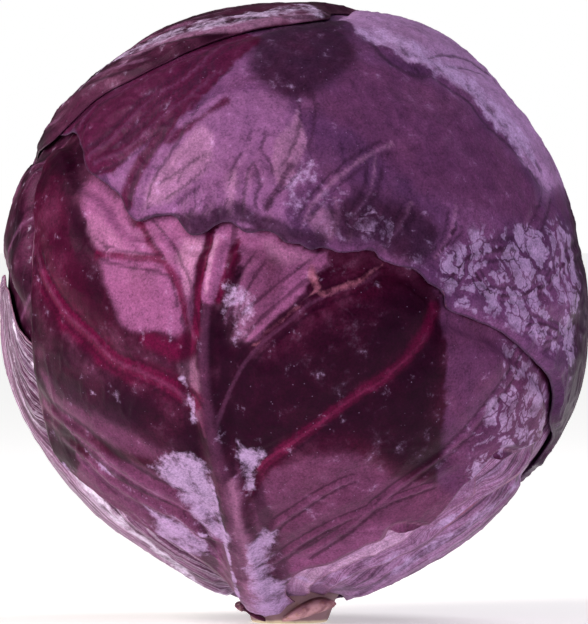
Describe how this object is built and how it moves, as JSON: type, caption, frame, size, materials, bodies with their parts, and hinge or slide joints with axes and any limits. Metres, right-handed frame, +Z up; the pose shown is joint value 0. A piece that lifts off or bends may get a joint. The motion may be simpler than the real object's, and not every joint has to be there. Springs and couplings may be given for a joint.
{
  "type": "red cabbage head",
  "caption": "Round red cabbage head of overlapping waxy leaves with raised midribs, standing on its short cut stalk.",
  "frame": {"origin": "middle of the stalk's flat cut face, on the surface that the head stands on", "axes": "+Z up from the stalk to the crown, -Y towards the front leaf whose midrib shows in the picture, +X to the right seen from the front"},
  "size_m": [0.1602, 0.1598, 0.1699],
  "materials": {
    "leaf_skin": "waxy red cabbage leaf, purple to maroon with crimson veins and a lilac bloom",
    "inner_leaves": "tightly folded purple leaves",
    "cut_stalk": "pale cut stalk with a thin purple skin",
    "leaf_stub": "trimmed leaf base, pinkish, browned at the cut"
  },
  "bodies": {
    "root": {"crown_leaf": "leaf_skin", "cap_leaf": "leaf_skin", "front_leaf": "leaf_skin", "lower_right_flap": "leaf_skin", "lower_left_leaf": "leaf_skin", "right_leaf": "leaf_skin", "left_leaf": "leaf_skin", "right_back_leaf": "leaf_skin", "back_leaf": "leaf_skin", "inner_head": "inner_leaves", "stalk": "cut_stalk", "cut_leaf_stub_left": "leaf_stub", "cut_leaf_stub_right": "leaf_stub", "cut_leaf_stub_back": "leaf_stub"}
  },
  "joints": []
}
